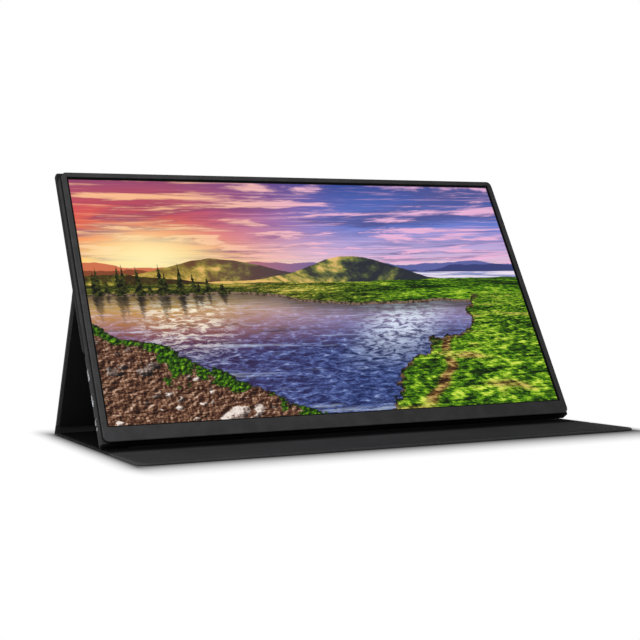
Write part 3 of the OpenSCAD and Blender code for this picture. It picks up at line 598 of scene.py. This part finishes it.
def paintMeadow(p, x, y, u, v, colour, grain, grainLift):
    # tufted meadow in front on the right, with a worn path and a bare bank along the water
    m = meadow
    raggedScale, raggedWidth = m["ragged"]
    ragged = p.times(p.less(p.noise(p.joined(x, y, 2.0), raggedScale, detail=9, rough=0.66), 0.5),
                     raggedWidth)
    edge = p.add(p.add(m["edge"][0], p.times(y, m["edge"][1])), ragged)
    inside = p.times(p.rise(p.less(x, edge), 0.0, 0.006),
                     p.rise(p.less(p.add(m["top"], p.times(grain, 0.04)), y), 0.0, 0.01))
    tuft, _ = lumps(p, u, p.times(v, 1.3), m["tufts"], 3.0, bend=0.6)
    blades, thick = relief(p, u, p.times(v, 0.9), m["blades"], 5.0, 0.004, detail=12, rough=0.76)
    patch = p.noise(p.joined(u, v, 8.0), m["patchScale"], detail=6, rough=0.6)
    light = p.add(p.add(p.times(tuft, 0.35), p.times(blades, 3.0)),
                  p.add(p.times(p.less(thick, 0.5), 1.0), p.times(p.less(patch, 0.5), 1.5)))
    light = p.add(light, p.add(0.48, p.times(grainLift, 0.5)))
    green = grassTone(p, light)
    dry = p.ramp(light, (0.2, srgb(40, 22, 10)), (0.5, srgb(118, 82, 40)), (0.8, srgb(202, 168, 98)))
    pathX, pathSlant, pathSway = m["path"]
    sway = p.times(p.less(p.noise(p.joined(y, 3.3), 5.0, detail=4), 0.5), pathSway)
    trackX = p.add(p.add(pathX, p.times(p.less(y, 0.2), pathSlant)), sway)
    nearWidth, narrowing = m["pathWidth"]
    track = p.rise(p.calc("ABSOLUTE", p.less(x, trackX)), p.less(nearWidth, p.times(y, narrowing)), 0.008)
    green = p.mix(p.times(track, p.rise(patch, 0.62, 0.50)), green, dry)
    green = p.mix(p.rise(patch, 0.54, 0.64, 0.0, 0.8), green, dry)
    bare = p.mix(p.rise(p.add(grain, tuft), 0.45, 0.75), srgb(20, 14, 10), srgb(112, 84, 58))
    green = p.mix(p.rise(p.less(x, edge), 0.045, 0.012), green, bare)
    return p.mix(inside, colour, green)


def paintBank(p, x, y, colour, grainLift):
    # rocks and earth in front on the left, with tufts of grass
    b = stonyBank
    raggedScale, raggedHeight = b["ragged"]
    ragged = p.times(p.less(p.noise(p.joined(x, y, 6.0), raggedScale, detail=9, rough=0.66), 0.5),
                     raggedHeight)
    edge = p.add(p.less(b["edge"][0], p.times(x, b["edge"][1])), ragged)
    below = p.less(edge, y)
    grit, gritHere = relief(p, x, p.times(y, 1.3), b["gritScale"], 1.0, b["gritStep"], detail=10, rough=0.75)
    light = p.add(p.add(0.42, p.times(grit, 2.6)), p.times(p.less(gritHere, 0.5), 1.0))
    earth = p.ramp(light, (0.12, srgb(22, 10, 8)), (0.36, srgb(72, 42, 30)), (0.56, srgb(122, 84, 62)),
                   (0.78, srgb(186, 150, 124)), (0.95, srgb(232, 214, 200)))
    for scale, share, seed in b["stones"]:
        face, cell = lumps(p, x, p.times(y, 1.5), scale, seed, bend=0.5)
        pick = p.split(cell["Color"])
        outline = p.rise(p.add(cell["Distance"], p.times(pick[1], 0.2)), 0.46, 0.38)
        tone = p.add(p.add(p.times(face, 1.5), p.times(grit, 2.2)), p.add(0.18, p.times(pick[2], 0.5)))
        rock = p.ramp(tone, (0.10, srgb(16, 12, 12)), (0.36, srgb(74, 62, 58)), (0.62, srgb(148, 128, 118)),
                      (0.9, srgb(236, 224, 214)))
        earth = p.mix(p.times(outline, p.rise(pick[0], share, share + 0.02)), earth, rock)
    nearEdge = p.rise(below, 0.12, 0.0, 0.0, 0.16)
    growth = p.add(p.noise(p.joined(x, y, 9.0), b["growthScale"], detail=9, rough=0.7), nearEdge)
    leaf, _ = lumps(p, x, p.times(y, 1.2), b["leafScale"], 6.0)
    bush = grassTone(p, p.add(p.add(0.34, p.times(leaf, 0.9)), p.times(grainLift, 1.5)))
    earth = p.mix(p.rise(growth, 0.585, 0.60, 0.0, 0.6), earth, srgb(14, 16, 6))
    earth = p.mix(p.rise(growth, 0.600, 0.615), earth, bush)
    earth = p.mix(p.rise(below, 0.02, 0.0, 0.0, 0.8), earth, srgb(14, 12, 12))
    return p.mix(p.rise(below, 0.0, 0.004), colour, earth)


def sunsetLake(p, x, y):
    # painted from the back to the front, each part over the last
    grain = p.noise(p.joined(x, y), 70, detail=5, rough=0.75)
    grainLift = p.times(p.less(grain, 0.5), 0.9)
    u, v = levelGround(p, x, y)
    colour = paintDistance(p, x, y, cloudSky(p, x, y))
    colour = paintHills(p, x, y, colour, grainLift)
    colour = paintLowLand(p, x, y, u, v, colour, grainLift)
    colour, shake, wet = paintLake(p, x, y, colour, grain)
    colour = paintConifers(p, x, y, colour, shake, wet)
    colour = paintMeadow(p, x, y, u, v, colour, grain, grainLift)
    return paintBank(p, x, y, colour, grainLift)


def screenMaterial():
    paint = Paint("litScreen", Roughness=0.5)
    paint.shader.inputs["Base Color"].default_value = (0.002, 0.002, 0.002, 1)
    paint.shader.inputs["Specular IOR Level"].default_value = 0.04
    paint.shader.inputs["Emission Strength"].default_value = 1.0
    low = onMonitor(monitorCase["recess"] * mm, monitorCase["chin"] * mm)
    height = monitorCase["litHeight"] * mm
    local = paint.placed(paint.objectPoint(), location=(-monitorCase["litWidth"] * mm / 2, low[0], low[1]),
                         rotation=(-lean, 0, 0), scale=(height, height, height))
    x, _, y = paint.split(local)
    wide = monitorCase["litWidth"] / monitorCase["litHeight"]
    # inside the lit rectangle, with a soft edge
    soft = monitorCase["softEdge"] / monitorCase["litHeight"]
    inside = 1.0
    for value, far in ((x, wide), (y, 1.0)):
        near = paint.rise(paint.calc("MINIMUM", value, paint.less(far, value)), -soft, soft)
        inside = near if inside == 1.0 else paint.times(inside, near)
    paint.drive("Emission Color", paint.mix(inside, (0.0012, 0.0012, 0.0014, 1), sunsetLake(paint, x, y)))
    sparkle = paint.noise(paint.objectPoint(), 3500, detail=2)
    paint.drive("Normal", paint.bump(sparkle, 0.00001, 0.5))
    return paint.material


def makeMesh(name, points, faces, sheet, material, body=None, slot=None):
    # merges the doubled rims, turns the faces outwards and smooths them
    mesh = bpy.data.meshes.new(name)
    mesh.from_pydata(points.tolist(), [], faces.tolist())
    layer = mesh.uv_layers.new(name="sheet")
    corner = np.zeros(len(mesh.loops), np.int64)
    mesh.loops.foreach_get("vertex_index", corner)
    layer.data.foreach_set("uv", sheet[corner].astype(np.float32).ravel())
    work = bmesh.new()
    work.from_mesh(mesh)
    bmesh.ops.remove_doubles(work, verts=work.verts, dist=1e-6)
    bmesh.ops.recalc_face_normals(work, faces=work.faces)
    work.to_mesh(mesh)
    work.free()
    mesh.polygons.foreach_set("use_smooth", np.ones(len(mesh.polygons), bool))
    mesh.materials.append(material)
    piece = bpy.data.objects.new(name, mesh)
    bpy.context.scene.collection.objects.link(piece)
    if body:
        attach(piece, body)
    return piece


def gridFaces(rows, cols, first=0):
    # the quads of a grid of points, row by row
    corner = first + np.arange(rows - 1)[:, None] * cols + np.arange(cols - 1)[None, :]
    return np.stack([corner, corner + 1, corner + cols + 1, corner + cols], axis=-1).reshape(-1, 4)


def foldedPanel(name, half, ends, corners, edge, under, over, place, material, square=2.0, pitch=0.006,
                creaseAt=None, **more):
    # a rounded rectangle in (x, s), with s across the fold lines: at a distance d from its outline it has the
    # share (1 - (1 - d / edge)^square)^(1 / square) of its half thickness above and below its middle, place()
    # lays (s, w) in the frame, and rows stand closer together at the edges, the corners and a crease
    s0, s1 = ends
    turn = 1 - np.cos(np.linspace(0, np.pi / 2, 8))
    stops = [s0 + edge * turn, s1 - edge * turn,
             np.linspace(s0 + edge, s1 - edge, max(3, int((s1 - s0) / pitch)))]
    for end, radius, way in ((s0, corners[0], 1), (s1, corners[1], -1)):
        if radius:
            stops.append(end + way * radius * (1 - np.cos(np.linspace(0, np.pi / 2, 16))))
    if creaseAt is not None:
        stops.append(creaseAt + np.linspace(-4 * mm, 4 * mm, 17))
    s = np.unique(np.round(np.clip(np.concatenate(stops), s0, s1), 6))
    drop = sum(r * (1 - np.sqrt(1 - np.clip(1 - np.abs(s - e) / r, 0, 1) ** 2))
               for e, r in zip(ends, corners) if r)
    width = (half - drop)[:, None] if np.ndim(drop) else np.full((len(s), 1), half)
    side = edge * turn[None, :]
    inner = np.linspace(-1, 1, max(3, int(2 * half / pitch)))[None, 1:-1] * (width - edge)
    x = np.concatenate([-width + side, inner, (width - side)[:, ::-1]], axis=1)
    S = np.repeat(s[:, None], x.shape[1], axis=1)
    radius = np.where(S < (s0 + s1) / 2, corners[0], corners[1])
    acrossOut = np.abs(x) - (half - radius)
    alongOut = np.abs(S - (s0 + s1) / 2) - ((s1 - s0) / 2 - radius)
    inside = (radius - np.hypot(np.maximum(acrossOut, 0), np.maximum(alongOut, 0))
              - np.minimum(np.maximum(acrossOut, alongOut), 0))
    share = (1 - (1 - np.clip(inside / edge, 0, 1)) ** square) ** (1 / square)
    low = under(S) if callable(under) else np.full_like(S, under)
    high = over(S) if callable(over) else np.full_like(S, over)
    middle = (low + high) / 2
    shells = []
    for w in (middle + (high - middle) * share, middle + (low - middle) * share):
        y, z = place(S, w)
        shells.append(np.stack([x, y, z], axis=-1).reshape(-1, 3))
    rows, cols = x.shape
    faces = np.concatenate([gridFaces(rows, cols), gridFaces(rows, cols, rows * cols)[:, ::-1]])
    sheet = np.tile(np.stack([x, S], axis=-1).reshape(-1, 2), (2, 1))
    return makeMesh(name, np.concatenate(shells), faces, sheet, material, **more)


coverSizes = dict(
    half=178.25, front=-110.0, corner=9.0, thick=2.0, skin=0.9, skinTop=0.8, edge=0.9, groove=7.0, foldEdge=0.3,
    hem=2.5, clothLow=0.78, clothEdge=0.2, clothGap=0.5,
    # the last two on the next line: where behind the crease the painted shade on the floor panel begins and is
    # full
    creaseReach=2.5, creaseDepth=0.8, paintedShadeFrom=2.0, paintedShadeTo=18.0,
    standLength=125.0, backStart=121.0, backTop=214.5,
    plateDepth=(6.7, 11.5), plateLow=66.5, plateHalf=179.3, plateCorners=(7.0, 2.0), plateEdge=1.0)
foldShape = dict(rearTurn=1.0, radius=3.0, nearer=0.3, easing=6.0)

standAlong = np.array((backFold.y - rearFold.y, backFold.z - rearFold.z))
standAlong /= np.hypot(*standAlong)
standIn = np.array((-standAlong[1], standAlong[0]))
fold = coverSizes["thick"] * mm / 2


def floorPlace(s, w):
    # flat on the table: s is Y, w is measured from the middle of the panel
    return s, fold + w


def standPlace(s, w):
    # s from the rear fold up the stand, w towards the monitor
    return rearFold.y + standAlong[0] * s + standIn[0] * w, rearFold.z + standAlong[1] * s + standIn[1] * w


def backPlace(s, w):
    # s from the back fold up the screen, w towards the monitor; the panel lies a little nearer than the fold
    eased = np.clip(s / (foldShape["easing"] * mm), 0, 1)
    near = w + foldShape["nearer"] * mm * eased ** 2 * (3 - 2 * eased)
    return (backFold.y + screenUp[0] * s - screenIn[0] * near,
            backFold.z + screenUp[1] * s - screenIn[1] * near)


def rearPlace(s, w):
    # along the floor for s < 0, round the fold's middle over the first stretch of s, then up the stand
    length = foldShape["rearTurn"] * mm
    turn = np.clip(s / length, 0, 1) * math.atan2(standAlong[1], standAlong[0])
    along = np.where(s < 0, s, np.maximum(s - length, 0))
    y = rearFold.y + along * np.cos(turn) - w * np.sin(turn)
    return y, rearFold.z + along * np.sin(turn) + w * np.cos(turn)


def upperPlace(s, w):
    # up the stand, through an arc on the side away from the monitor, and on up the back
    first, last = math.atan2(standAlong[1], standAlong[0]), math.atan2(screenUp[1], screenUp[0])
    radius = foldShape["radius"] * mm
    reach = radius * math.tan((first - last) / 2)
    length = radius * (first - last)
    turn = first - np.clip((s + length / 2) / length, 0, 1) * (first - last)
    start = np.array((backFold.y, backFold.z)) - reach * standAlong
    centre = start - radius * standIn
    arcY, arcZ = centre[0] - radius * np.sin(turn), centre[1] + radius * np.cos(turn)
    extra = np.where(s < -length / 2, s + length / 2, np.maximum(s - length / 2, 0))
    inner = w + foldShape["nearer"] * mm * np.clip(s / (foldShape["easing"] * mm), 0, 1)
    return (arcY + extra * np.cos(turn) - inner * np.sin(turn),
            arcZ + extra * np.sin(turn) + inner * np.cos(turn))


def makeCover(c):
    # painted shade on the floor panel's leather and lining, from just behind the crease back under the monitor
    paintedShade = (crease.y + c["paintedShadeFrom"] * mm, crease.y + c["paintedShadeTo"] * mm)
    leather = fineLeather("coverLeather", dict(leatherFinish, colour=(37, 37, 38), shine=0.25))
    floorLeather = fineLeather("floorLeather", dict(leatherFinish, paintedShade=(*paintedShade, 0.975)))
    # the stand's lining is much darker than the floor's: painted shade for the shade inside the stand
    lining = brushedCloth("coverLining", (13, 13, 14))
    floorLining = brushedCloth("floorLining", (39, 39, 40), (*paintedShade, 0.93))
    rear = rearFold.y
    half, front, hem, groove, edge, foldEdge = (
        c[k] * mm for k in ("half", "front", "hem", "groove", "edge", "foldEdge"))
    skin, skinTop, clothLow = c["skin"] * mm - fold, c["skinTop"] * mm, c["clothLow"] * mm
    clothEdge, clothGap = c["clothEdge"] * mm, c["clothGap"] * mm
    creaseReach, creaseDepth = c["creaseReach"] * mm, c["creaseDepth"] * mm
    dip = lambda s: np.clip(1 - (np.abs(s - crease.y) / creaseReach), 0, 1)
    valley = lambda s: creaseDepth * dip(s) ** 2 * (3 - 2 * dip(s))

    # floor panel and flap: one leather and one lining that bend at the crease
    floorSkin = foldedPanel("floorLeather", half, (front, rear - groove), (c["corner"] * mm, 0), edge, -fold,
                            lambda s: skinTop - valley(s), floorPlace, floorLeather, creaseAt=crease.y,
                            slot="cover_leather")
    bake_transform(floorSkin)
    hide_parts("floor_skin", "flap_skin")
    insideCloth = foldedPanel("insideLining", half - hem, (front + hem, rear - groove - clothGap),
                              (c["corner"] * mm - hem, 0), clothEdge, lambda s: clothLow - valley(s),
                              lambda s: fold - valley(s), floorPlace, floorLining, creaseAt=crease.y,
                              slot="cover_lining")
    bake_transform(insideCloth)
    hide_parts("flap_lining", "floor_lining")

    # leather round the rear fold, and the stand panel
    rearStrip = foldedPanel("rearFoldLeather", half, (-groove, groove + foldShape["rearTurn"] * mm), (0, 0),
                            foldEdge, -fold, skin - 0.0001, rearPlace, leather, creaseAt=0.0005, pitch=0.003,
                            slot="cover_leather")
    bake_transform(rearStrip)
    length = c["standLength"] * mm
    standSkin = foldedPanel("standLeather", half, (groove, length - groove), (0, 0), edge, -fold, skinTop,
                            standPlace, leather, body="stand", slot="cover_leather")
    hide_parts("stand_skin")
    standCloth = foldedPanel("standLining", half - hem, (groove + clothGap, length - groove - clothGap),
                             (0, 0), clothEdge, clothLow, fold, standPlace, lining, body="stand",
                             slot="cover_lining")
    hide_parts("stand_lining")

    # leather over the back fold, and the back panel
    upperStrip = foldedPanel("backFoldLeather", half, (-groove, groove), (0, 0), foldEdge, -fold,
                             skin + 0.0002, upperPlace, leather, creaseAt=0, pitch=0.003, slot="cover_leather")
    bend = screenUp + standAlong
    bend = foldShape["radius"] * mm * bend / math.hypot(*bend)
    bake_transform(upperStrip)
    top = (c["backTop"] - c["backStart"]) * mm
    backSkin = foldedPanel("backLeather", half, (groove, top), (0, c["plateCorners"][1] * mm), edge, -fold,
                           fold, backPlace, leather, body="plate", slot="cover_leather")
    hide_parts("back_skin")

    def platePlace(s, w):
        # s up the screen from the bezel's foot, w towards the monitor from the plate's middle
        depth = sum(c["plateDepth"]) / 2 * mm - w
        footY, footZ = onMonitor(0, 0)
        return footY + screenIn[0] * depth + screenUp[0] * s, footZ + screenIn[1] * depth + screenUp[1] * s

    plateHalf = (c["plateDepth"][1] - c["plateDepth"][0]) / 2 * mm
    # the plate's leather is darker than the cover's other leather: painted shade for the dark gap by the shell
    plateFinishAndShade = dict(leatherFinish, colour=(29, 29, 30), grain=520, bump=0.0003, shine=0.02)
    plate = foldedPanel("plateLeather", c["plateHalf"] * mm, (c["plateLow"] * mm, c["backTop"] * mm),
                        tuple(r * mm for r in c["plateCorners"]), c["plateEdge"] * mm, -plateHalf, plateHalf,
                        platePlace, fineLeather("plateLeather", plateFinishAndShade, flat=False), square=3.5,
                        body="plate", slot="cover_leather")
    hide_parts("plate_wrap", "plate_core")


makeCover(coverSizes)
print("cover made")


# finishes of the frame's own nodes

def dress(material, *names):
    for name in names:
        node = frame["nodes"][name]
        node.data.materials.clear()
        node.data.materials.append(material)


dress(finePlastic("bezelPlastic", plasticFinish), "front_bezel")
dress(finePlastic("shellPlastic", dict(plasticFinish, colour=(37, 37, 37), rough=0.62)), "rear_shell")
# a dark gasket in the seam; its near-black colour is also painted shade for the seam's depth
dress(plain("seamRubberAndShade", (21, 21, 21), 0.9, spots=900, shine=0.01), "seam_gasket")
dress(screenMaterial(), "lcd_cell")
dress(plain("rubber", (7, 7, 7), 0.85, spots=900, shine=0.02), "grip_strip_front", "grip_strip_rear")
dress(plain("greyBoard", (150, 140, 120), 0.9, spots=300), "floor_board", "spine_board", "flap_board",
      "stand_board", "plate_core")
dress(metal("nickel", (190, 188, 180), 0.3), "flap_magnets", "plate_magnets")
dress(metal("receptacleSteel", (205, 206, 210), 0.28, (1, 6, 6)), "usb_c_port_upper", "usb_c_port_lower",
      "mini_hdmi_port", "audio_jack")
dress(metal("sheetSteel", (176, 178, 182), 0.4, (12, 1, 1)), "panel_chassis", "shell_steel_strips")
dress(metal("blackScrew", (46, 46, 48), 0.35), "shell_screws")
dress(plain("opticalFilm", (214, 216, 220), 0.35), "optical_films", "reflector_sheet")
dress(plain("acrylic", (206, 216, 220), 0.15), "light_guide_plate")
dress(plain("ledStrip", (216, 216, 204), 0.5), "led_bar")
dress(plain("solderMask", (26, 74, 50), 0.4, spots=700), "driver_board", "main_board", "button_board")
dress(plain("amberFlex", (172, 128, 58), 0.35), "display_cable")
dress(plain("frostedLight", (196, 200, 206), 0.3, change=0.05), "status_led")
dress(plain("speakerBlack", (34, 34, 36), 0.6), "speaker_left", "speaker_right")
dress(finePlastic("keyPlastic", dict(plasticFinish, colour=(70, 70, 71), rough=0.4)), "power_button",
      "menu_rocker")
dress(metal("keySteel", (176, 176, 180), 0.4), "side_key")
print("finishes set")
